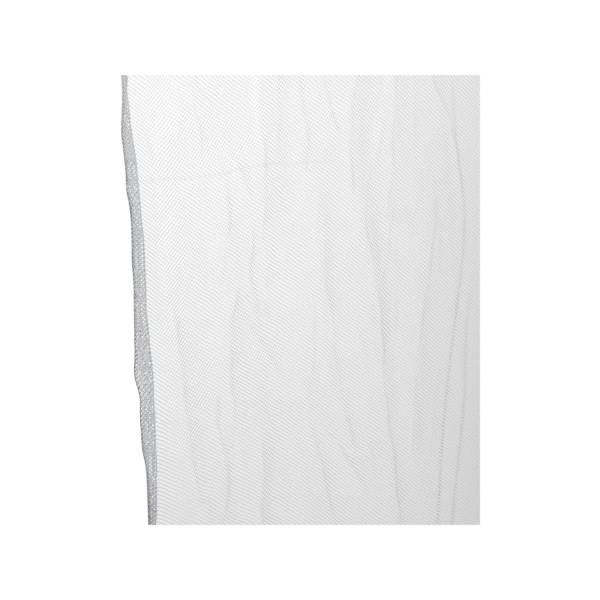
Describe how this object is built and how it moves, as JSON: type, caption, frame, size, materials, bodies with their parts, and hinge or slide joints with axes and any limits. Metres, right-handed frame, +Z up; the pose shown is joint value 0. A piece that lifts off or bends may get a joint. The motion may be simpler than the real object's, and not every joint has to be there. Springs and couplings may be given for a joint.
{
  "type": "mosquito netting, cut length with a turned side hem",
  "caption": "Hanging cut length of fine diamond-mesh mosquito netting with uneven long folds, side pleats and a curled turned hem.",
  "frame": {"origin": "middle of the net's top edge, where it hangs from whatever holds it", "axes": "+Z up along the hanging length, +X to the right seen from the front, the front of the net looks towards -Y, and the hem is at -X"},
  "size_m": [0.2603, 0.0173, 0.3241],
  "materials": {
    "netting": "white knitted multifilament netting, matt with a faint sheen, sheer"
  },
  "bodies": {
    "root": {"netting": "netting"}
  },
  "joints": []
}
